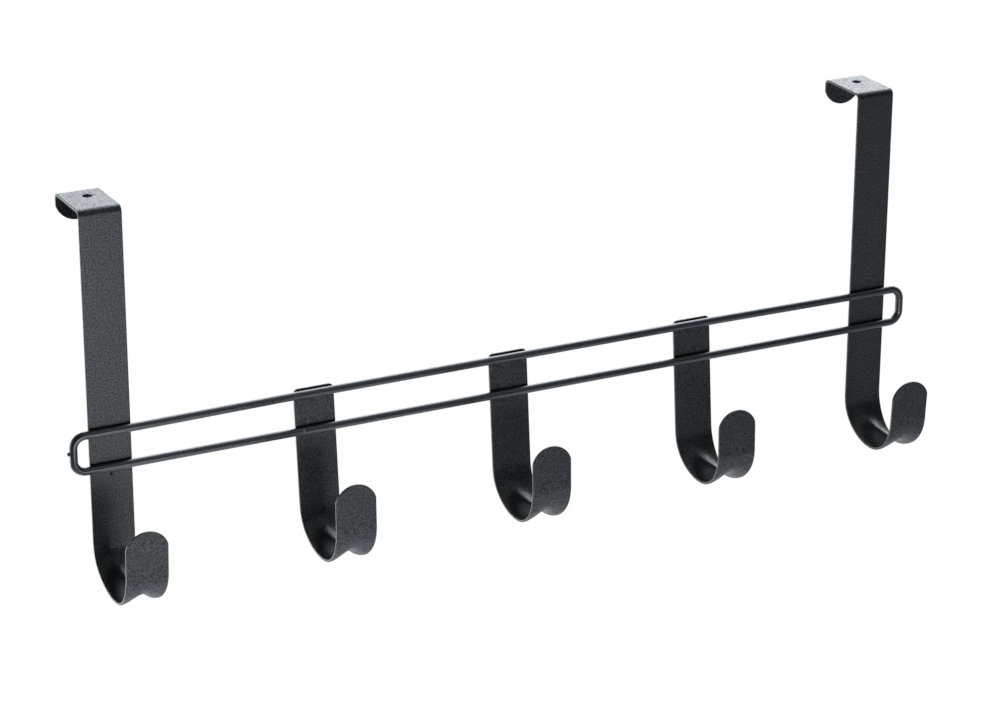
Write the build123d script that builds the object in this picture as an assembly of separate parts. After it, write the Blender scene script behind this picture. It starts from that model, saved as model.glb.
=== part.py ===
from build123d import *
from math import atan2, degrees, hypot, pi, sin
import os

# Over door hook rack: five hooks of bent strip, welded behind one closed loop of wire.
# Millimetres. +X runs along the rack, +Y points into the door and +Z points up.
# The origin is midway between the two screw holes, on the top face of the door.

# Steel strip that the hangers and the hooks are bent from
strip_width = 25.0
strip_thickness = 1.5
strip_edge_bevel = 0.3
strip_end_ease = 0.5

# Row of hooks
hook_pitch = 125.0

# Hanger over the door's top edge
door_thickness = 35.0
fold_inner_radius = 2.0
lip_run = 0.5
screw_hole_diameter = 5.5
hole_from_lip = 12.5
hole_side_offset = 1.5

# Wire frame
wire_diameter = 4.8
wire_spacing = 21.4
frame_overhang = 12.5
frame_corner_radius = 7.0
frame_drop = 138.7
upper_wire_setback = 1.9
setback_run_in = 5.0
setback_bend_radius = 120.0
weld_depth = 0.3
butt_weld_height = 1.3
butt_weld_width = 2.2

# Hook at the foot of every strip
hook_inner_radius = 25.0
hook_bend_drop = 55.6
tab_run = 13.5
tab_flare = 3.5

# Saddle rib pressed into the bend of the hook
rib_height = 7.5
rib_end_margin = 13.0
rib_foot = 2.0
rib_edge_draw = 1.5
section_step = 12.0

# Upper end of a middle hook
head_overrun = 3.2
head_corner_radius = 3.0

# Places worked out from the sizes above
wire_radius = wire_diameter / 2
seat = wire_radius - weld_depth
fold_radius = fold_inner_radius + strip_thickness / 2
hook_radius = hook_inner_radius + strip_thickness / 2
bend_turn = 180.0 - tab_flare
hole_from_strap = door_thickness - hole_from_lip
wire_y = -hole_from_strap - strip_thickness - seat
rack_x = -hole_side_offset
hanger_x = 2 * hook_pitch
end_x = hanger_x + strip_width / 2 + frame_overhang - wire_radius

# A strip is laid out along +Y with its width along X and its normal along +Z.
# It turns towards -Z, about an axis along X.


def after_turn(radius, turn):
    """Place reached after a turn, from the start of a bend of this middle radius."""
    return Pos(Z=-radius) * Rot(X=-turn) * Pos(Z=radius)


def strip_section():
    """Cross-section of the flat strip, with its edges eased."""
    outline = Rectangle(strip_width, strip_thickness)
    return Plane.XZ * chamfer(outline.vertices(), strip_edge_bevel)


def flat_run(length):
    """Straight length of strip, starting at the origin."""
    return extrude(strip_section(), -length)


def fold(radius):
    """Square bend of this middle radius, starting at the origin."""
    return revolve(strip_section(), Axis((0, 0, -radius), (-1, 0, 0)), 90)


def tongue(run):
    """End of strip cut to one wide arc, whose centre lies this far along."""
    radius = strip_width / 2 + strip_end_ease
    disc = Cylinder(radius, strip_thickness)
    disc = chamfer(disc.edges().filter_by(GeomType.CIRCLE), strip_edge_bevel)
    return flat_run(run) + Pos(Y=run) * (flat_run(radius) & disc)


def square_head(length):
    """End of strip cut square, with its two corners rounded and its edges eased."""
    outline = Pos(Y=length / 2) * Rectangle(strip_width, length)
    corners = outline.vertices().group_by(Axis.Y)[-1]
    plate = extrude(fillet(corners, head_corner_radius), strip_thickness / 2, both=True)
    joined = plate.faces().sort_by(Axis.Y)[0].edges()
    across = plate.edges().filter_by(Axis.Z)
    free_edges = [edge for edge in plate.edges() if edge not in joined + across]
    return chamfer(free_edges, strip_edge_bevel)


def rib_rise(turn):
    """Height of the rib at a turn along the bend, fading to nothing at both of its ends."""
    share = (turn - rib_end_margin) / (bend_turn - 2 * rib_end_margin)
    return rib_height * sin(pi * share) ** 2 if 0 < share < 1 else 0.0


def ribbed_section(turn):
    """Cross-section of the strip at a turn along the bend, with the rib on the bend's inside."""
    rise = rib_rise(turn)
    half = strip_width / 2 - rib_edge_draw * rise / rib_height
    flat = half - strip_edge_bevel
    side = strip_thickness / 2 - strip_edge_bevel
    # A five-point curve reaches three eighths of the height of its middle point.
    crest = rise * 8 / 3

    def face_curve(level):
        points = [(-flat, level), (-rib_foot, level), (0, level - crest), (rib_foot, level), (flat, level)]
        return Bezier(*points)

    def edge_lines(x):
        top = strip_thickness / 2
        return Polyline((x * flat, top), (x * half, side), (x * half, -side), (x * flat, -top))

    faces = [face_curve(strip_thickness / 2), face_curve(-strip_thickness / 2)]
    section = make_face(faces + [edge_lines(-1), edge_lines(1)])
    return after_turn(hook_radius, turn) * (Plane.XZ * section)


def hook_bend():
    """Bend of the hook with its saddle rib, lofted through sections at even turns."""
    count = round(bend_turn / section_step)
    return loft([ribbed_section(bend_turn * index / count) for index in range(count + 1)])


def hook():
    """Bend and tab of a hook, starting where the strap ends."""
    return hook_bend() + after_turn(hook_radius, bend_turn) * tongue(tab_run)


def hook_foot():
    """Place where the strap ends, seen from midway between the two wires behind which it is welded."""
    return Pos(Y=seat + strip_thickness / 2, Z=-hook_bend_drop)


def door_hanger():
    """Hook, strap, top plate and lip of one hanger, bent from one strip."""
    strap_length = hook_bend_drop + frame_drop - fold_inner_radius
    plate_length = door_thickness - 2 * fold_inner_radius
    strip = flat_run(strap_length)
    end = Pos(Y=strap_length)
    strip += end * fold(fold_radius)
    end *= after_turn(fold_radius, 90)
    hole = Pos(hole_side_offset, hole_from_strap - fold_inner_radius)
    plate = flat_run(plate_length) - hole * Cylinder(screw_hole_diameter / 2, 2 * strip_thickness)
    strip += end * plate
    end *= Pos(Y=plate_length)
    strip += end * fold(fold_radius)
    end *= after_turn(fold_radius, 90)
    strip += end * tongue(lip_run)
    return hook_foot() * (Rot(X=90) * strip + Rot(X=-90) * hook())


def middle_hook():
    """Hook on a short strap that ends just above the upper wire."""
    strap_length = hook_bend_drop + hypot(wire_spacing, upper_wire_setback) / 2 + head_overrun
    return hook_foot() * (Rot(X=90) * square_head(strap_length) + Rot(X=-90) * hook())


def hanger_place(x):
    """Place midway between the wires at a hanger."""
    return Pos(rack_x + x, wire_y, -frame_drop)


def hook_place(x):
    """Place midway between the wires at a middle hook, which leans back with the upper wire."""
    lean = degrees(atan2(upper_wire_setback, wire_spacing))
    return Pos(rack_x + x, wire_y + upper_wire_setback / 2, -frame_drop) * Rot(X=-lean)


def wire(points, radii):
    """Round wire along straight runs joined by bends."""
    path = FilletPolyline(*points, radius=radii)
    return sweep(Plane(origin=path @ 0, z_dir=path % 0) * Circle(wire_radius), path=path)


def wire_loop():
    """Closed loop of wire, midway between its long runs, with its upper run set back at the hooks."""
    top = wire_spacing / 2
    outer_turn = hanger_x - strip_width / 2 - setback_run_in
    inner_turn = hook_pitch + strip_width / 2 + setback_run_in
    left = [(-end_x, 0, 0), (-end_x, 0, top), (-outer_turn, 0, top), (-inner_turn, upper_wire_setback, top)]
    right = [(-x, y, z) for x, y, z in reversed(left)]
    ends = [frame_corner_radius, setback_bend_radius, setback_bend_radius]
    upper = wire(left + right, ends + ends[::-1])
    low_points = [(-end_x, 0, 0), (-end_x, 0, -top), (end_x, 0, -top), (end_x, 0, 0)]
    lower = wire(low_points, frame_corner_radius)
    flash = Pos(X=-end_x - butt_weld_height) * Cylinder(wire_radius, butt_weld_width)
    flash = chamfer(flash.edges().filter_by(GeomType.CIRCLE), butt_weld_width / 3)
    return upper + lower + flash


def weld_seat():
    """Room that a strip takes out of the wires where it is welded to them."""
    depth = 2 * wire_diameter
    height = wire_spacing + 2 * wire_diameter
    return Pos(Y=seat + depth / 2) * Box(strip_width, depth, height)


def wire_frame():
    """Wire loop with a flat at each weld."""
    frame = hanger_place(0) * wire_loop()
    for place in (hanger_place(-hanger_x), hanger_place(hanger_x)):
        frame -= place * weld_seat()
    for x in (-hook_pitch, 0, hook_pitch):
        frame -= hook_place(x) * weld_seat()
    return frame


hanger = door_hanger()
short_hook = middle_hook()
nodes = {
    "wire_frame": wire_frame(),
    "left_door_hanger": hanger_place(-hanger_x) * hanger,
    "left_hook": hook_place(-hook_pitch) * short_hook,
    "centre_hook": hook_place(0) * short_hook,
    "right_hook": hook_place(hook_pitch) * short_hook,
    "right_door_hanger": hanger_place(hanger_x) * hanger,
}

os.makedirs("parts", exist_ok=True)
for name, shape in nodes.items():
    export_step(shape, f"parts/{name}.step")
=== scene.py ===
from math import acos, atan2, cos, hypot, pi, radians, sin

import bmesh
import bpy
from mathutils import Matrix, Vector


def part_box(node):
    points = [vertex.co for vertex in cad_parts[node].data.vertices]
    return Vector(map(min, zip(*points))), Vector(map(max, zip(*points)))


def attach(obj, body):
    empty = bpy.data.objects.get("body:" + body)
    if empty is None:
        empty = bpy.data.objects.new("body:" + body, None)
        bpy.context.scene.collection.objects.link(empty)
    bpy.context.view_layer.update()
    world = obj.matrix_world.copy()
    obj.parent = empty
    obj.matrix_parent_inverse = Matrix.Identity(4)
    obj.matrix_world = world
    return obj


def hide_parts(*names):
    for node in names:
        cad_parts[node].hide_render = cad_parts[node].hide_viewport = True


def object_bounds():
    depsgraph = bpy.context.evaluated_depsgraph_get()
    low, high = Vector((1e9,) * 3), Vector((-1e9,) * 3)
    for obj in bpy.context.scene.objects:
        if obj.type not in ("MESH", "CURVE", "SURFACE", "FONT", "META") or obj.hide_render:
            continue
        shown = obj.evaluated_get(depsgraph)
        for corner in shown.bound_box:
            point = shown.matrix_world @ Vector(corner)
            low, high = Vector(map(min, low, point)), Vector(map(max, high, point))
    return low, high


bl_info = {
    "name": "Over door hook rack",
    "version": (1, 0, 0),
    "blender": (4, 5, 0),
    "location": "3D View > Sidebar > Hook rack",
    "description": "Dresses the packed hook rack in bent strip, wire and powder coat, and lights it",
    "category": "Object",
}

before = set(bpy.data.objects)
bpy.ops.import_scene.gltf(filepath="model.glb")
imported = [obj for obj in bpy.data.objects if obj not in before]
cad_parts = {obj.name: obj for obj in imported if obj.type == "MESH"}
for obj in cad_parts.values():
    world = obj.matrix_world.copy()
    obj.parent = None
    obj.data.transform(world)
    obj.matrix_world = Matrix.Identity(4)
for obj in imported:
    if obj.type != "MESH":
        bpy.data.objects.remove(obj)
cad_box = [list(corner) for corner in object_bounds()]

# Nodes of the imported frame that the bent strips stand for
HANGERS = ("left_door_hanger", "right_door_hanger")
HOOKS = ("left_hook", "centre_hook", "right_hook")
WIRE = "wire_frame"
PAINT = "grained_coat"
WIRE_PAINT = "smooth_coat"
MM = 0.001

# Small marks on each coat: place, radius and colour. The black spot on the grained coat stands for a real
# pit, and its black is painted shade in the pit's hollow; the grey spot on the wire is a speck in the coat
MARKS = {
    # Pit in the strap below the lower wire, painted black as the shade inside it
    PAINT: [((-251.6 * MM, -24.0 * MM, -154.6 * MM), 0.8 * MM, (0.0, 0.0, 0.0, 1.0))],
    WIRE_PAINT: [((-135.6 * MM, -28.4 * MM, -148.4 * MM), 0.5 * MM, (0.22, 0.24, 0.26, 1.0))],
}

# Fineness of a strip's mesh: steps between its rows, and its columns and edge turns
END_STEP = radians(5.0)
CORNER_STEP = radians(12.0)
BEND_STEP = radians(3.0)
TAB_STEP = 4 * MM
LONG_STRAP_STEP = 8 * MM
SHORT_STRAP_STEP = 6 * MM
PLATE_STEP = 1.25 * MM
FOLD_ROWS = 16
COLUMNS = 24
EDGE_COLUMN = 0.006
EDGE_TURNS = (22.5, 45.0, 67.5, 90.0)
HOLE_MARGIN = 1.2 * MM
SAME_PLACE = 1e-7

# Fineness of the wire's mesh, and how deep its burr sits in it
CORNER_POINTS = 14
WIRE_POINTS = 32
BURR_SEGMENTS = 24
BURR_RINGS = 16
BURR_SEAT = 0.2 * MM

# How strongly the grain shows in the gloss, and how far the ripple swings the roughness
GRAIN_CONTRAST = 2.6
ROUGHNESS_SWING = 0.08

# Floor, in metres: its reach, the plain round under the rack, the fade round it, and its glow
FLOOR_REACH = 6.0
FLOOR_ROUND = 0.5
FLOOR_FADE = 0.4
FLOOR_GLOW = 0.5

# White part of the world behind the rack: how fast it sets in, where it ends and how fast
BACKDROP_ONSET = 4.0
BACKDROP_TOP = 0.6
BACKDROP_END = 5.0

# Lamps, in metres: name, setting of the power, size, place and where it points
LAMP_AIM = (-0.0015, -0.03, -0.13)
LAMPS = (
    ("lamp_above", "top_power", (1.1, 0.9), (0.62, 0.75, 1.1), (0.62, 0.751, 0.0)),
    ("lamp_over_front", "crown_power", (1.1, 0.8), (0.62, -0.1, 1.1), (0.62, -0.099, 0.0)),
    ("lamp_behind", "back_power", (2.9, 1.3), (0.95, 1.7, 0.6), LAMP_AIM),
    ("card_in_front", "card_power", (0.5, 0.34), (-0.15, -0.95, -0.33), LAMP_AIM),
    ("card_below", "low_card_power", (0.9, 0.28), (0.38, -0.95, -0.93), LAMP_AIM),
    ("card_under", "under_power", (0.9, 0.6), (-0.15, -0.25, -0.85), LAMP_AIM),
    ("card_at_right", "fill_power", (1.0, 0.5), (0.95, -1.0, -0.35), LAMP_AIM),
    ("lamp_high_front", "high_power", (0.8, 0.7), (0.15, -0.75, 0.6), LAMP_AIM),
    ("lamp_at_rim", "rim_power", (1.4, 1.0), (-1.2, 0.9, -0.5), LAMP_AIM),
)

# Camera: where it points before it is moved, in metres, and its sensor's width in millimetres
CAMERA_AIM = Vector((-0.0015, -0.024, -0.1395))
SENSOR_WIDTH = 36.0


def length(label, millimetres, about):
    """A length in metres that a user can change."""
    return bpy.props.FloatProperty(
        name=label, description=about, default=millimetres * MM, min=0.0, precision=5, unit="LENGTH"
    )


def angle(label, turn, about):
    """An angle that a user can change, given in degrees."""
    return bpy.props.FloatProperty(name=label, description=about, default=radians(turn), subtype="ANGLE")


def share(label, value, about, top=1.0):
    """A plain number from nothing to its top value."""
    return bpy.props.FloatProperty(name=label, description=about, default=value, min=0.0, max=top)


def tint(label, value, about):
    """A colour that a user can change."""
    return bpy.props.FloatVectorProperty(
        name=label, description=about, default=value, min=0.0, max=1.0, size=3, subtype="COLOR"
    )


def node_middle(node):
    """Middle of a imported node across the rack."""
    low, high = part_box(node)
    return (low.x + high.x) / 2


class StripSizes(bpy.types.PropertyGroup):
    """Sizes of the flat strip and of its bends."""

    width: length("Width", 25.0, "Width of the strip")
    thickness: length("Thickness", 1.5, "Thickness of the strip")
    edge_round: length("Edge round", 0.35, "Radius that the coat leaves on the edges")
    end_radius: length("End radius", 13.0, "Radius of the rounded ends of the lip and the tab")
    hook_radius: length("Hook radius", 25.75, "Radius of the hook at the middle of the strip")
    hook_turn: angle("Hook turn", 176.5, "Turn of the hook from the strap to the tab")
    tab_run: length("Tab run", 13.5, "Flat length of the tab up to the centre of its rounded end")
    rib_height: length("Rib height", 7.5, "Height of the saddle rib in the middle of the bend")
    rib_margin: angle("Rib margin", 13.0, "Plain bend left at each end of the rib")
    rib_foot: length("Rib foot", 2.0, "Half width at which the rib's flanks are drawn in")
    rib_draw: length("Rib draw", 1.5, "How far the rib draws in each edge of the strip")
    bend_drop: length("Bend drop", 55.6, "Drop from midway between the wires to the start of the hook")
    fold_radius: length("Fold radius", 2.75, "Radius of the folds over the door at the middle of the strip")
    door_gap: length("Door gap", 35.0, "Room for the door between the strap and the lip")
    lip_run: length("Lip run", 0.5, "Flat length of the lip up to the centre of its rounded end")
    hole_radius: length("Hole radius", 2.75, "Radius of the screw hole")
    hole_back: length("Hole from strap", 22.5, "Distance of the screw hole from the back of the strap")
    hole_aside: length("Hole aside", 1.5, "Distance of the screw hole to the right of the strip's middle")
    head_overrun: length("Head overrun", 3.2, "Length of a middle hook above the upper wire")
    head_corner: length("Head corner", 3.0, "Radius of the corners of a middle hook's head")


class WireSizes(bpy.types.PropertyGroup):
    """Sizes of the wire loop."""

    diameter: length("Diameter", 4.8, "Diameter of the wire")
    spacing: length("Spacing", 21.4, "Distance between the two long runs")
    drop: length("Drop", 138.7, "Drop from the door's top face to midway between the runs")
    seat: length("Seat", 2.1, "Distance from the wire's middle to the strip that it is welded to")
    overhang: length("Overhang", 12.5, "Length of the loop beyond the outer strips")
    corner_radius: length("Corner radius", 7.0, "Radius of the loop's corners at the wire's middle")
    setback: length("Setback", 1.9, "How far the upper run steps back at the middle hooks")
    run_in: length("Run in", 5.0, "Straight wire left beside a strip before the step")
    step_radius: length("Step radius", 120.0, "Radius of the bends of that step")
    burr: length("Burr", 1.3, "How far the butt weld stands out at the left end")
    burr_width: length("Burr width", 2.4, "Width of the butt weld's burr")
    burr_rise: length("Burr rise", 1.2, "Height of the butt weld above the middle of the loop")


class CoatLook(bpy.types.PropertyGroup):
    """Colour and grain of the powder coat."""

    colour: tint("Colour", (0.003, 0.0037, 0.0045), "Charcoal of the coat")
    pale: tint("Grain colour", (0.014, 0.0168, 0.02), "Charcoal on the tops of the grain")
    grain: length("Grain", 1.0, "Size of the coat's fine grain")
    grain_depth: length("Grain depth", 0.12, "Height of the fine grain")
    ripple: length("Ripple", 4.5, "Size of the coat's slow ripple")
    ripple_depth: length("Ripple depth", 0.02, "Height of the slow ripple")
    roughness: share("Roughness", 0.42, "Roughness of the coat between the grains")
    wire_roughness: share("Wire roughness", 0.3, "Roughness of the smoother coat on the wire")
    wire_grain: share("Wire grain", 0.25, "Share of the grain's height that the coat on the wire keeps")
    gloss: share("Gloss", 0.45, "Mean strength of the clear reflection on the grained coat")
    wire_gloss: share("Wire gloss", 0.85, "Mean strength of the clear reflection on the wire")
    specular: share("Specular", 0.15, "Strength of the coat's plain reflection")


class StudioLook(bpy.types.PropertyGroup):
    """Camera, floor and lamps."""

    azimuth: angle("Azimuth", -27.032, "Direction of the camera round the rack")
    elevation: angle("Elevation", 21.001, "Height of the camera above the horizon")
    roll: angle("Roll", 0.123, "Turn of the camera about its own axis")
    distance: length("Distance", 1926.0, "Distance from the camera to the middle of the rack")
    aim_left: length("Aim left", 5.79, "How far the camera moves to its own left")
    aim_up: length("Aim up", 11.48, "How far the camera moves up")
    lens: bpy.props.FloatProperty(
        name="Lens", description="Focal length of the camera", default=117.56, unit="CAMERA"
    )
    floor_drop: length("Floor drop", 900.0, "Drop from the hooks to the floor")
    floor: tint("Floor", (0.86, 0.86, 0.86), "Colour of the floor")
    lamp_tint: tint("Lamp colour", (0.88, 0.945, 1.0), "Colour of the lamps")
    top_power: share("Top power", 22.0, "Power of the lamp above, in watts", 1000.0)
    crown_power: share("Crown power", 2.4, "Power of the small lamp above the front, in watts", 1000.0)
    back_power: share("Back power", 40.0, "Power of the lamp behind, in watts", 1000.0)
    card_power: share("Card power", 5.1, "Power of the card in front, in watts", 1000.0)
    low_card_power: share("Low card power", 2.2, "Power of the low card in front, in watts", 1000.0)
    under_power: share("Under power", 1.8, "Power of the card under the hooks, in watts", 1000.0)
    fill_power: share("Fill power", 1.2, "Power of the wide card at the right, in watts", 1000.0)
    high_power: share("High power", 1.2, "Power of the high lamp in front, in watts", 1000.0)
    rim_power: share("Rim power", 18.0, "Power of the low lamp behind at the left, in watts", 1000.0)
    ambient: share("Ambient", 0.064, "Level of the plain light from all round", 2.0)


class Reading:
    """A node's output that takes part in arithmetic by adding Math nodes to its tree."""

    def __init__(self, graph, socket):
        self.graph = graph
        self.socket = socket

    def math(self, operation, *others):
        values = dict(enumerate((self, *others)))
        return self.graph.node("ShaderNodeMath", {"operation": operation}, values)[0]

    def reflected(self, operation, other):
        return self.graph.node("ShaderNodeMath", {"operation": operation}, {0: other, 1: self})[0]

    def __add__(self, other):
        return self.math("ADD", other)

    def __radd__(self, other):
        return self.reflected("ADD", other)

    def __sub__(self, other):
        return self.math("SUBTRACT", other)

    def __rsub__(self, other):
        return self.reflected("SUBTRACT", other)

    def __mul__(self, other):
        return self.math("MULTIPLY", other)

    def __rmul__(self, other):
        return self.reflected("MULTIPLY", other)

    def __truediv__(self, other):
        return self.math("DIVIDE", other)

    def __pow__(self, other):
        return self.math("POWER", other)

    def __neg__(self):
        return self.reflected("SUBTRACT", 0.0)

    def clamped(self, low, high):
        return self.math("MAXIMUM", low).math("MINIMUM", high)


class Graph:
    """A node tree whose nodes all come from one method."""

    def __init__(self, tree):
        self.tree = tree

    def node(self, kind, settings=(), values=()):
        """Adds a node, sets it, feeds its sockets and gives its outputs by place and by name."""
        made = self.tree.nodes.new(kind)
        for name, setting in dict(settings).items():
            setattr(made, name, setting)
        for name, value in dict(values).items():
            if isinstance(value, Reading):
                self.tree.links.new(value.socket, made.inputs[name])
            else:
                made.inputs[name].default_value = value
        outputs = {}
        for place, socket in enumerate(made.outputs):
            outputs[place] = Reading(self, socket)
            outputs.setdefault(socket.name, outputs[place])
        return outputs

    def vector(self, x=0.0, y=0.0, z=0.0):
        return self.node("ShaderNodeCombineXYZ", (), {"X": x, "Y": y, "Z": z})[0]

    def between(self, a, b, operation):
        return self.node("ShaderNodeVectorMath", {"operation": operation}, {0: a, 1: b})[0]

    def distance(self, a, b):
        return self.node("ShaderNodeVectorMath", {"operation": "DISTANCE"}, {0: a, 1: b})["Value"]

    def turned(self, vector, turn):
        values = {"Vector": vector, "Angle": turn}
        return self.node("ShaderNodeVectorRotate", {"rotation_type": "X_AXIS"}, values)[0]

    def attribute(self, name):
        return self.node("GeometryNodeInputNamedAttribute", {"data_type": "FLOAT"}, {"Name": name})[0]


def shape_tree(name, inputs):
    """A tree of Geometry Nodes with these named inputs, its graph and its input readings."""
    tree = bpy.data.node_groups.new(name, "GeometryNodeTree")
    tree.interface.new_socket(name="Geometry", in_out="INPUT", socket_type="NodeSocketGeometry")
    tree.interface.new_socket(name="Geometry", in_out="OUTPUT", socket_type="NodeSocketGeometry")
    for label, kind in inputs.items():
        tree.interface.new_socket(name=label, in_out="INPUT", socket_type="NodeSocket" + kind)
    graph = Graph(tree)
    return graph, graph.node("NodeGroupInput")


def end_tree(graph, geometry, material):
    """Ends a tree with smooth, realized geometry in one material."""
    smooth = graph.node("GeometryNodeSetShadeSmooth", (), {"Geometry": geometry})[0]
    real = graph.node("GeometryNodeRealizeInstances", (), {"Geometry": smooth})[0]
    coated = graph.node("GeometryNodeSetMaterial", (), {"Geometry": real, "Material": material})[0]
    graph.node("NodeGroupOutput", (), {0: coated})


def shaped(name, mesh, tree, values):
    """A plain mesh object from a start mesh, after a tree with these input values."""
    piece = bpy.data.objects.new(name, mesh)
    bpy.context.scene.collection.objects.link(piece)
    modifier = piece.modifiers.new("Shape", "NODES")
    modifier.node_group = tree
    sockets = {item.name: item.identifier for item in tree.interface.items_tree if item.in_out == "INPUT"}
    for label, value in values.items():
        modifier[sockets[label]] = value
    done = piece.evaluated_get(bpy.context.evaluated_depsgraph_get())
    result = bpy.data.meshes.new_from_object(done)
    piece.modifiers.clear()
    piece.data = result
    result.name = name
    return piece


def finish_piece(piece, *nodes):
    """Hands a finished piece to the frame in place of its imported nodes."""
    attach(piece, "root")
    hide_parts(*nodes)


def spread(start, stop, step):
    """Even places after start, up to and with stop."""
    count = max(1, round(abs(stop - start) / step))
    return [start + (stop - start) * place / count for place in range(1, count + 1)]


def round_end_rows(sizes, centre, way):
    """Rows of the blank over a rounded end, from its shoulder to its tip."""
    radius = sizes.end_radius - sizes.edge_round
    shoulder = acos((sizes.width / 2 - sizes.edge_round) / radius)
    turns = [shoulder] + spread(shoulder, pi / 2, END_STEP)
    return [(centre + way * radius * sin(turn), radius * cos(turn), way * turn) for turn in turns]


def square_head_rows(sizes, end):
    """Rows of the blank over a square head with rounded corners."""
    radius = sizes.head_corner - sizes.edge_round
    start = end - sizes.head_corner
    wide = sizes.width / 2 - sizes.head_corner
    turns = [0.0] + spread(0.0, pi / 2, CORNER_STEP)
    return [(start + radius * sin(turn), wide + radius * cos(turn), turn) for turn in turns]


def hook_rows(sizes):
    """Rows of the blank from the tab's tip to the end of the strap."""
    bend = sizes.hook_radius * sizes.hook_turn
    half = sizes.width / 2 - sizes.edge_round
    rows = round_end_rows(sizes, -bend - sizes.tab_run, -1)[::-1]
    rows += [(place, half, 0.0) for place in spread(rows[-1][0], -bend, TAB_STEP)]
    rows += [(place, half, 0.0) for place in spread(-bend, 0.0, sizes.hook_radius * BEND_STEP)]
    return rows


def across_columns():
    """Shares of the strip's width at which the blank has columns, close together at the edges."""
    inner = [place / COLUMNS for place in range(1, COLUMNS)]
    return [0.0, EDGE_COLUMN] + inner + [1.0 - EDGE_COLUMN, 1.0]


class Blank:
    """Flat strip with its rounded edges, before it is bent. It stands upright and faces -Y."""

    def __init__(self, sizes, rows, hole=None):
        self.sizes = sizes
        self.mesh = bmesh.new()
        self.along = self.mesh.verts.layers.float.new("along")
        self.across = self.mesh.verts.layers.float.new("across")
        columns = across_columns()
        window = self.hole_window(rows, columns, hole) if hole else None
        skins = [self.skin(rows, columns, side, window) for side in (0.5, -0.5)]
        rim = self.rim(rows, len(columns) - 1)
        front, back = ([skin[i][j] for i, j, _ in rim] for skin in skins)
        self.edge(front, back, [normal for _, _, normal in rim])
        if hole:
            self.pierce(skins, window, hole)
        bmesh.ops.remove_doubles(self.mesh, verts=self.mesh.verts, dist=SAME_PLACE)
        bmesh.ops.recalc_face_normals(self.mesh, faces=self.mesh.faces)

    def vert(self, x, out, place, column):
        """A vertex that keeps its place along and its column across the strip."""
        made = self.mesh.verts.new((x, -out, place))
        made[self.along] = place
        made[self.across] = column
        return made

    def column_share(self, column):
        """Place of a column across the half width: columns lie closer over the rib."""
        flat = self.sizes.width / 2 - self.sizes.edge_round
        narrow = 2 - 4 * self.sizes.rib_foot / flat
        return (2 * column - 1) * (1 - column * (1 - column) * narrow)

    def skin(self, rows, columns, side, window):
        """One broad face of the strip, with room left for the hole."""
        out = side * self.sizes.thickness
        grid = []
        for place, half, _ in rows:
            grid.append([self.vert(half * self.column_share(c), out, place, c) for c in columns])
        for i in range(len(rows) - 1):
            for j in range(len(columns) - 1):
                if window and window[0] <= i < window[1] and window[2] <= j < window[3]:
                    continue
                self.mesh.faces.new((grid[i][j], grid[i][j + 1], grid[i + 1][j + 1], grid[i + 1][j]))
        return grid

    def rim(self, rows, last):
        """Places round the blank's outline, each with its outward normal."""
        top = len(rows) - 1
        right = [(i, last, (cos(rows[i][2]), sin(rows[i][2]))) for i in range(top + 1)]
        head = [(top, j, (0.0, 1.0)) for j in range(last - 1, 0, -1)]
        left = [(i, 0, (-cos(rows[i][2]), sin(rows[i][2]))) for i in range(top, -1, -1)]
        foot = [(0, j, (0.0, -1.0)) for j in range(1, last)]
        return right + head + left + foot

    def edge(self, front, back, normals):
        """Rounded edge between the rims of the two broad faces."""
        bend = self.sizes.edge_round
        side = self.sizes.thickness / 2 - bend
        turns = [radians(turn) for turn in EDGE_TURNS]
        steps = [(bend * sin(turn), side + bend * cos(turn)) for turn in turns]
        rings = [front]
        for reach, out in steps + [(reach, -out) for reach, out in steps[::-1]]:
            ring = []
            for start, (nx, nz) in zip(front, normals):
                x = start.co.x + reach * nx
                ring.append(self.vert(x, out, start.co.z + reach * nz, start[self.across]))
            rings.append(ring)
        rings.append(back)
        for low, high in zip(rings, rings[1:]):
            for k in range(len(low)):
                self.mesh.faces.new((low[k - 1], low[k], high[k], high[k - 1]))

    def hole_window(self, rows, columns, hole):
        """First and last rows and columns of the opening that is left for the hole."""
        x, place, radius = hole
        reach = radius + self.sizes.edge_round + HOLE_MARGIN
        half = self.sizes.width / 2 - self.sizes.edge_round
        inside = [i for i, row in enumerate(rows) if abs(row[0] - place) < reach]
        between = [j for j, c in enumerate(columns) if abs(half * self.column_share(c) - x) < reach]
        return inside[0] - 1, inside[-1] + 1, between[0] - 1, between[-1] + 1

    def pierce(self, skins, window, hole):
        """Ring of faces and rounded wall of the hole."""
        x, place, radius = hole
        first, last, left, right = window
        loop = [(first, j) for j in range(left, right)]
        loop += [(i, right) for i in range(first, last)]
        loop += [(last, j) for j in range(right, left, -1)]
        loop += [(i, left) for i in range(last, first, -1)]
        reach = radius + self.sizes.edge_round
        rims = []
        for skin in skins:
            rim = []
            for i, j in loop:
                start = skin[i][j]
                way = Vector((start.co.x - x, start.co.z - place)).normalized()
                spot = (x + reach * way.x, -start.co.y, place + reach * way.y)
                rim.append(self.vert(*spot, start[self.across]))
            for k, (i, j) in enumerate(loop):
                before = loop[k - 1]
                self.mesh.faces.new((skin[before[0]][before[1]], skin[i][j], rim[k], rim[k - 1]))
            rims.append(rim)
        normals = []
        for made in rims[0]:
            way = Vector((x - made.co.x, place - made.co.z)).normalized()
            normals.append((way.x, way.y))
        self.edge(rims[0], rims[1], normals)

    def to_mesh(self, name):
        """The finished blank as a mesh of this name."""
        mesh = bpy.data.meshes.new(name)
        self.mesh.to_mesh(mesh)
        self.mesh.free()
        return mesh


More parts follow.
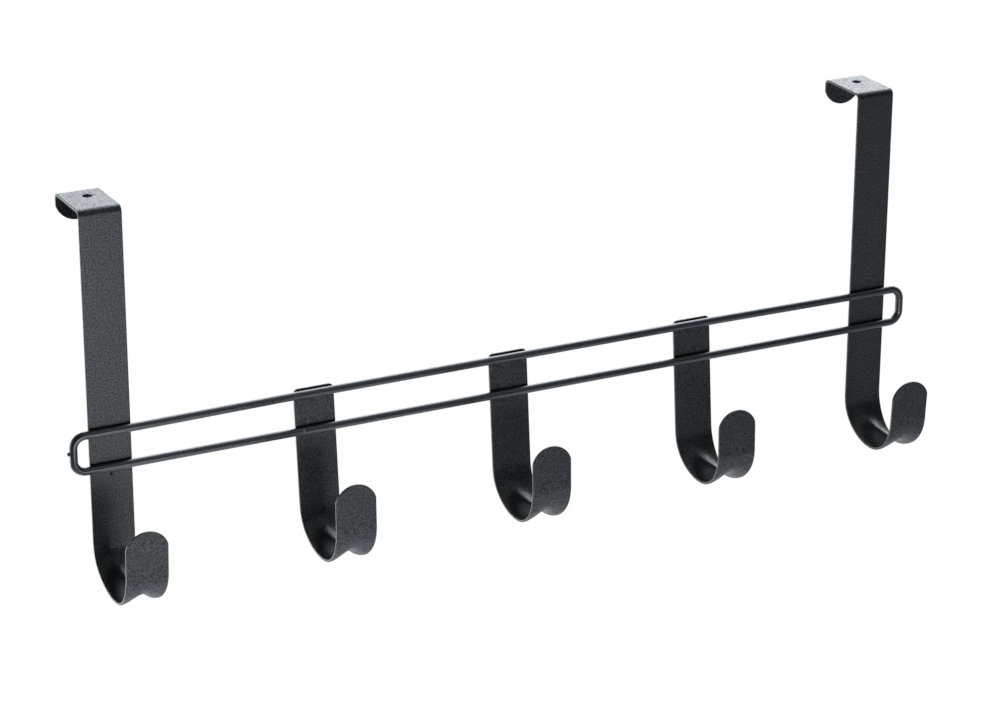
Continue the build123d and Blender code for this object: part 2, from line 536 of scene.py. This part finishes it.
def fold(graph, geometry, along, start, radius, turn):
    """Bends the strip beyond a place, towards the back, or the front and foot for a negative radius."""
    bent = ((along - start) / radius).clamped(0.0, turn)
    position = graph.node("GeometryNodeInputPosition")[0]
    away = graph.vector(0.0, radius, start + radius * bent)
    centre = graph.vector(0.0, radius, start)
    arm = graph.between(position, away, "SUBTRACT")
    turned = graph.turned(arm, -bent)
    placed = graph.between(turned, centre, "ADD")
    return graph.node("GeometryNodeSetPosition", (), {"Geometry": geometry, "Position": placed})[0]


def bent_strip_tree():
    """Tree that presses the saddle rib into a flat strip, bends it and puts it in its place."""
    lengths = ("Hook Radius", "Rib Height", "Rib Draw", "Fold Radius", "First Fold", "Second Fold")
    inputs = {name: "Float" for name in lengths + ("Hook Turn", "Rib Margin")}
    inputs.update({"Lean": "Float", "Place": "Vector", "Coat": "Material"})
    graph, given = shape_tree("bent_strip", inputs)
    along = graph.attribute("along")
    across = graph.attribute("across")
    ribbed = given["Hook Turn"] - 2.0 * given["Rib Margin"]
    done = (-along / given["Hook Radius"] - given["Rib Margin"]) / ribbed
    swell = (done.clamped(0.0, 1.0) * pi).math("SINE") ** 2.0
    spare = across * (1.0 - across)
    crown = 16.0 * spare * spare
    sideways = (1.0 - 2.0 * across) * (1.0 - 2.0 * spare) * swell * given["Rib Draw"]
    inwards = -(crown * swell * given["Rib Height"])
    moved = {"Geometry": given["Geometry"], "Offset": graph.vector(sideways, inwards)}
    pressed = graph.node("GeometryNodeSetPosition", (), moved)[0]
    hooked = fold(graph, pressed, along, 0.0, -given["Hook Radius"], given["Hook Turn"])
    lipped = fold(graph, hooked, along, given["Second Fold"], given["Fold Radius"], pi / 2)
    folded = fold(graph, lipped, along, given["First Fold"], given["Fold Radius"], pi / 2)
    position = graph.node("GeometryNodeInputPosition")[0]
    leant = graph.turned(position, given["Lean"])
    placed = graph.between(leant, given["Place"], "ADD")
    put = graph.node("GeometryNodeSetPosition", (), {"Geometry": folded, "Position": placed})[0]
    end_tree(graph, put, given["Coat"])
    return graph.tree


def strip_values(sizes, first_fold, second_fold, lean, place):
    """Input values of the bent strip tree."""
    return {
        "Hook Radius": sizes.hook_radius,
        "Hook Turn": sizes.hook_turn,
        "Rib Height": sizes.rib_height,
        "Rib Margin": sizes.rib_margin,
        "Rib Draw": sizes.rib_draw,
        "Fold Radius": sizes.fold_radius,
        "First Fold": first_fold,
        "Second Fold": second_fold,
        "Lean": lean,
        "Place": place,
        "Coat": bpy.data.materials[PAINT],
    }


def wire_tree():
    """Tree that rounds the corners of a path, runs wire along it and adds the butt weld's burr."""
    inputs = {"Wire Radius": "Float", "Burr Place": "Vector", "Burr Size": "Vector", "Coat": "Material"}
    graph, given = shape_tree("wire_loop", inputs)
    path = graph.node("GeometryNodeMeshToCurve", (), {"Mesh": given["Geometry"]})[0]
    radius = graph.attribute("corner")
    rounded = graph.node(
        "GeometryNodeFilletCurve", {"mode": "POLY"},
        {"Curve": path, "Count": CORNER_POINTS, "Radius": radius},
    )[0]
    ring = graph.node(
        "GeometryNodeCurvePrimitiveCircle", {"mode": "RADIUS"},
        {"Resolution": WIRE_POINTS, "Radius": given["Wire Radius"]},
    )[0]
    wire = graph.node("GeometryNodeCurveToMesh", (), {"Curve": rounded, "Profile Curve": ring})[0]
    detail = {"Segments": BURR_SEGMENTS, "Rings": BURR_RINGS, "Radius": 1.0}
    bead = graph.node("GeometryNodeMeshUVSphere", (), detail)[0]
    burr = graph.node(
        "GeometryNodeTransform", (),
        {"Geometry": bead, "Translation": given["Burr Place"], "Scale": given["Burr Size"]},
    )[0]
    joined = graph.tree.nodes.new("GeometryNodeJoinGeometry")
    graph.tree.links.new(burr.socket, joined.inputs[0])
    graph.tree.links.new(wire.socket, joined.inputs[0])
    end_tree(graph, Reading(graph, joined.outputs[0]), given["Coat"])
    return graph.tree


class RACK_OT_powder_coat(bpy.types.Operator):
    """Mixes the charcoal powder coat with its fine grain"""

    bl_idname = "rack.powder_coat"
    bl_label = "Mix powder coat"

    def execute(self, context):
        look = context.scene.rack_coat
        self.mix(look, PAINT, look.roughness, 1.0, look.gloss)
        self.mix(look, WIRE_PAINT, look.wire_roughness, look.wire_grain, look.wire_gloss)
        return {"FINISHED"}

    def mix(self, look, name, rough, relief, gloss):
        """Makes one coat of this name, with its own roughness, share of the grain and gloss."""
        coat = bpy.data.materials.new(name)
        coat.use_nodes = True
        coat.diffuse_color = (*look.colour, 1.0)
        coat.node_tree.nodes.clear()
        graph = Graph(coat.node_tree)
        here = graph.node("ShaderNodeTexCoord")["Object"]
        grain = graph.node(
            "ShaderNodeTexNoise", (),
            {"Vector": here, "Scale": 1.0 / look.grain, "Detail": 3.0, "Roughness": 0.6},
        )["Fac"]
        ripple = graph.node(
            "ShaderNodeTexNoise", (),
            {"Vector": here, "Scale": 1.0 / look.ripple, "Detail": 1.0, "Roughness": 0.5},
        )["Fac"]
        tops = ((grain - 0.5) * (GRAIN_CONTRAST * relief) + gloss).clamped(0.0, 1.0)
        colour = graph.node(
            "ShaderNodeMix", {"data_type": "RGBA"},
            {0: tops, 6: (*look.colour, 1.0), 7: (*look.pale, 1.0)},
        )[2]
        roughness = rough + (ripple - 0.5) * ROUGHNESS_SWING
        height = grain * (look.grain_depth * relief / look.ripple_depth) + ripple
        bump = graph.node(
            "ShaderNodeBump", (), {"Strength": 1.0, "Distance": look.ripple_depth, "Height": height}
        )[0]
        surface = graph.node(
            "ShaderNodeBsdfPrincipled", (),
            {
                "Base Color": colour,
                "Roughness": roughness,
                "Specular IOR Level": look.specular,
                "Coat Weight": tops,
                "Coat Roughness": rough,
                "Normal": bump,
            },
        )[0]
        # Each mark is a matt disc over the coat; the black disc is painted shade in a pit
        for place, radius, tone in MARKS[name]:
            # One up to two thirds of the radius, and nothing from four thirds of it
            inside = (2.0 - graph.distance(here, place) * (1.5 / radius)).clamped(0.0, 1.0)
            matt = graph.node("ShaderNodeBsdfDiffuse", (), {"Color": tone})[0]
            surface = graph.node("ShaderNodeMixShader", (), {0: inside, 1: surface, 2: matt})[0]
        graph.node("ShaderNodeOutputMaterial", (), {"Surface": surface})


class RACK_OT_door_hangers(bpy.types.Operator):
    """Bends the two long strips that hang over the door"""

    bl_idname = "rack.door_hangers"
    bl_label = "Bend door hangers"

    def execute(self, context):
        sizes = context.scene.rack_strip
        wire = context.scene.rack_wire
        half = sizes.width / 2 - sizes.edge_round
        inner = sizes.fold_radius - sizes.thickness / 2
        first = sizes.bend_drop + wire.drop - inner
        quarter = sizes.fold_radius * pi / 2
        plate = first + quarter
        second = plate + sizes.door_gap - 2 * inner
        lip = second + quarter
        hole = (sizes.hole_aside, plate + sizes.hole_back - inner, sizes.hole_radius)
        fold_step = quarter / FOLD_ROWS
        places = spread(0.0, first, LONG_STRAP_STEP) + spread(first, plate, fold_step)
        places += spread(plate, second, PLATE_STEP) + spread(second, lip, fold_step)
        places += spread(lip, lip + sizes.lip_run, sizes.lip_run)
        rows = hook_rows(sizes) + [(place, half, 0.0) for place in places]
        rows += round_end_rows(sizes, lip + sizes.lip_run, 1)
        tree = bpy.data.node_groups.get("bent_strip") or bent_strip_tree()
        for node in HANGERS:
            middle = -(sizes.hole_back + sizes.thickness / 2)
            place = (node_middle(node), middle, -wire.drop - sizes.bend_drop)
            mesh = Blank(sizes, rows, hole).to_mesh(node)
            piece = shaped(node + "_coated", mesh, tree, strip_values(sizes, first, second, 0.0, place))
            finish_piece(piece, node)
        return {"FINISHED"}


class RACK_OT_middle_hooks(bpy.types.Operator):
    """Bends the three short strips between the hangers"""

    bl_idname = "rack.middle_hooks"
    bl_label = "Bend middle hooks"

    def execute(self, context):
        sizes = context.scene.rack_strip
        wire = context.scene.rack_wire
        half = sizes.width / 2 - sizes.edge_round
        end = sizes.bend_drop + hypot(wire.spacing, wire.setback) / 2 + sizes.head_overrun
        head = square_head_rows(sizes, end)
        places = spread(0.0, head[0][0], SHORT_STRAP_STEP)[:-1]
        rows = hook_rows(sizes) + [(place, half, 0.0) for place in places] + head
        tree = bpy.data.node_groups.get("bent_strip") or bent_strip_tree()
        lean = -atan2(wire.setback, wire.spacing)
        foot = Vector((0.0, wire.seat + sizes.thickness / 2, -sizes.bend_drop))
        drop = Matrix.Rotation(lean, 3, "X") @ foot
        wire_y = -(sizes.hole_back + sizes.thickness + wire.seat)
        for node in HOOKS:
            middle = Vector((node_middle(node), wire_y + wire.setback / 2, -wire.drop))
            mesh = Blank(sizes, rows).to_mesh(node)
            # A short strip has no folds over the door, so these start beyond its end
            values = strip_values(sizes, 2 * end, 2 * end, lean, middle + drop)
            finish_piece(shaped(node + "_coated", mesh, tree, values), node)
        return {"FINISHED"}


class RACK_OT_wire_loop(bpy.types.Operator):
    """Runs the wire round its closed loop"""

    bl_idname = "rack.wire_loop"
    bl_label = "Run wire loop"

    def execute(self, context):
        strip = context.scene.rack_strip
        sizes = context.scene.rack_wire
        left, right = (node_middle(node) for node in HANGERS)
        inner_left = node_middle(HOOKS[0])
        inner_right = node_middle(HOOKS[-1])
        beside = strip.width / 2 + sizes.run_in
        reach = strip.width / 2 + sizes.overhang - sizes.diameter / 2
        front = -(strip.hole_back + strip.thickness + sizes.seat)
        back = front + sizes.setback
        high = -sizes.drop + sizes.spacing / 2
        low = -sizes.drop - sizes.spacing / 2
        points = [
            (left - reach, front, high, sizes.corner_radius),
            (left + beside, front, high, sizes.step_radius),
            (inner_left - beside, back, high, sizes.step_radius),
            (inner_right + beside, back, high, sizes.step_radius),
            (right - beside, front, high, sizes.step_radius),
            (right + reach, front, high, sizes.corner_radius),
            (right + reach, front, low, sizes.corner_radius),
            (left - reach, front, low, sizes.corner_radius),
        ]
        path = bpy.data.meshes.new(WIRE)
        edges = [(place, (place + 1) % len(points)) for place in range(len(points))]
        path.from_pydata([point[:3] for point in points], edges, [])
        corner = path.attributes.new("corner", "FLOAT", "POINT")
        corner.data.foreach_set("value", [point[3] for point in points])
        radius = sizes.diameter / 2
        values = {
            "Wire Radius": radius,
            "Burr Place": (left - reach - radius + BURR_SEAT, front, -sizes.drop + sizes.burr_rise),
            "Burr Size": (sizes.burr + BURR_SEAT, sizes.burr_width / 2, sizes.burr_width / 2),
            "Coat": bpy.data.materials[WIRE_PAINT],
        }
        piece = shaped(WIRE + "_coated", path, wire_tree(), values)
        finish_piece(piece, WIRE)
        return {"FINISHED"}


def rays_that_see_white(graph, backdrop):
    """Share that is one for camera rays and clear surfaces, and for glossy rays that meet the backdrop."""
    path = graph.node("ShaderNodeLightPath")
    seen = path["Is Camera Ray"] + path["Is Transmission Ray"] + path["Is Glossy Ray"] * backdrop
    return seen.clamped(0.0, 1.0)


def softbox(name, power, colour, size, place, aim):
    """Soft rectangular lamp that points at a place."""
    lamp = bpy.data.lights.new(name, "AREA")
    lamp.shape = "RECTANGLE"
    lamp.size, lamp.size_y = size
    lamp.energy = power
    lamp.color = colour
    holder = bpy.data.objects.new(name, lamp)
    bpy.context.scene.collection.objects.link(holder)
    holder.location = place
    holder.rotation_mode = "QUATERNION"
    holder.rotation_quaternion = (Vector(aim) - Vector(place)).to_track_quat("-Z", "Y")
    holder.visible_camera = False


class RACK_OT_studio(bpy.types.Operator):
    """Sets up the floor, the lamps and the camera"""

    bl_idname = "rack.studio"
    bl_label = "Set up studio"

    def execute(self, context):
        scene = context.scene
        look = scene.rack_studio
        scene.view_settings.view_transform = "Standard"
        self.lay_floor(look)
        self.light_world(scene, look)
        for name, power, size, place, aim in LAMPS:
            softbox(name, getattr(look, power), look.lamp_tint, size, place, aim)
        self.place_camera(scene, look)
        return {"FINISHED"}

    def lay_floor(self, look):
        """Pale floor that is white away from the rack and keeps the shade under it."""
        level = cad_box[0][2] - look.floor_drop
        mesh = bpy.data.meshes.new("floor")
        ways = ((-1, -1), (1, -1), (1, 1), (-1, 1))
        corners = [(x * FLOOR_REACH, y * FLOOR_REACH, level) for x, y in ways]
        mesh.from_pydata(corners, [], [(0, 1, 2, 3)])
        floor = bpy.data.objects.new("floor", mesh)
        bpy.context.scene.collection.objects.link(floor)
        paint = bpy.data.materials.new("pale_floor")
        paint.use_nodes = True
        paint.node_tree.nodes.clear()
        graph = Graph(paint.node_tree)
        matt = graph.node("ShaderNodeBsdfDiffuse", (), {"Color": (*look.floor, 1.0)})[0]
        glow = graph.node("ShaderNodeEmission", (), {"Strength": FLOOR_GLOW})[0]
        white = graph.node("ShaderNodeEmission", (), {"Strength": 1.0})[0]
        near = graph.node("ShaderNodeAddShader", (), {0: matt, 1: glow})[0]
        here = graph.node("ShaderNodeTexCoord")["Object"]
        away = graph.distance(here, (0.0, 0.0, level))
        behind = graph.node("ShaderNodeSeparateXYZ", (), {0: here})["Y"]
        outside = ((away - FLOOR_ROUND) / FLOOR_FADE).clamped(0.0, 1.0)
        backdrop = ((behind - FLOOR_ROUND) / FLOOR_FADE).clamped(0.0, 1.0)
        seen = graph.node("ShaderNodeMixShader", (), {0: outside, 1: near, 2: white})[0]
        mixed = graph.node(
            "ShaderNodeMixShader", (), {0: rays_that_see_white(graph, backdrop), 1: matt, 2: seen}
        )[0]
        graph.node("ShaderNodeOutputMaterial", (), {"Surface": mixed})
        mesh.materials.append(paint)

    def light_world(self, scene, look):
        """Plain light from all round, with a white backdrop behind the rack."""
        world = bpy.data.worlds.new("studio")
        world.use_nodes = True
        world.node_tree.nodes.clear()
        graph = Graph(world.node_tree)
        way = graph.node("ShaderNodeTexCoord")["Generated"]
        parts = graph.node("ShaderNodeSeparateXYZ", (), {0: way})
        low = ((BACKDROP_TOP - parts["Z"]) * BACKDROP_END).clamped(0.0, 1.0)
        backdrop = (parts["Y"] * BACKDROP_ONSET).clamped(0.0, 1.0) * low
        strength = look.ambient + rays_that_see_white(graph, backdrop) * (1.0 - look.ambient)
        values = {"Color": (1.0, 1.0, 1.0, 1.0), "Strength": strength}
        light = graph.node("ShaderNodeBackground", (), values)[0]
        graph.node("ShaderNodeOutputWorld", (), {"Surface": light})
        scene.world = world

    def place_camera(self, scene, look):
        """Camera that looks down on the rack from the left."""
        camera = bpy.data.cameras.new("camera")
        camera.lens = look.lens
        camera.sensor_width = SENSOR_WIDTH
        holder = bpy.data.objects.new("camera", camera)
        scene.collection.objects.link(holder)
        out = cos(look.elevation)
        back = Vector((sin(look.azimuth) * out, -cos(look.azimuth) * out, sin(look.elevation)))
        right = Vector((cos(look.azimuth), sin(look.azimuth), 0.0))
        up = back.cross(right)
        c, s = cos(look.roll), sin(look.roll)
        right, up = c * right + s * up, c * up - s * right
        place = CAMERA_AIM - look.aim_left * right + look.aim_up * up + look.distance * back
        turn = Matrix((right, up, back)).transposed().to_4x4()
        holder.matrix_world = Matrix.Translation(place) @ turn
        scene.camera = holder


class RACK_PT_hook_rack(bpy.types.Panel):
    """Sizes, finish and studio of the hook rack"""

    bl_idname = "RACK_PT_hook_rack"
    bl_label = "Hook rack"
    bl_space_type = "VIEW_3D"
    bl_region_type = "UI"
    bl_category = "Hook rack"

    def draw(self, context):
        for name in SETTINGS:
            settings = getattr(context.scene, name)
            box = self.layout.box()
            for label in settings.__annotations__:
                box.prop(settings, label)
        for operator in OPERATORS:
            self.layout.operator(operator.bl_idname)


SETTINGS = {
    "rack_strip": StripSizes,
    "rack_wire": WireSizes,
    "rack_coat": CoatLook,
    "rack_studio": StudioLook,
}
OPERATORS = (
    RACK_OT_powder_coat,
    RACK_OT_door_hangers,
    RACK_OT_middle_hooks,
    RACK_OT_wire_loop,
    RACK_OT_studio,
)


def register():
    for made in (*SETTINGS.values(), *OPERATORS, RACK_PT_hook_rack):
        bpy.utils.register_class(made)
    for name, settings in SETTINGS.items():
        setattr(bpy.types.Scene, name, bpy.props.PointerProperty(type=settings))


def unregister():
    for name in SETTINGS:
        delattr(bpy.types.Scene, name)
    for made in (RACK_PT_hook_rack, *OPERATORS, *SETTINGS.values()):
        bpy.utils.unregister_class(made)


def main():
    register()
    bpy.ops.rack.powder_coat()
    bpy.ops.rack.door_hangers()
    bpy.ops.rack.middle_hooks()
    bpy.ops.rack.wire_loop()
    bpy.ops.rack.studio()


if __name__ == "__main__":
    main()
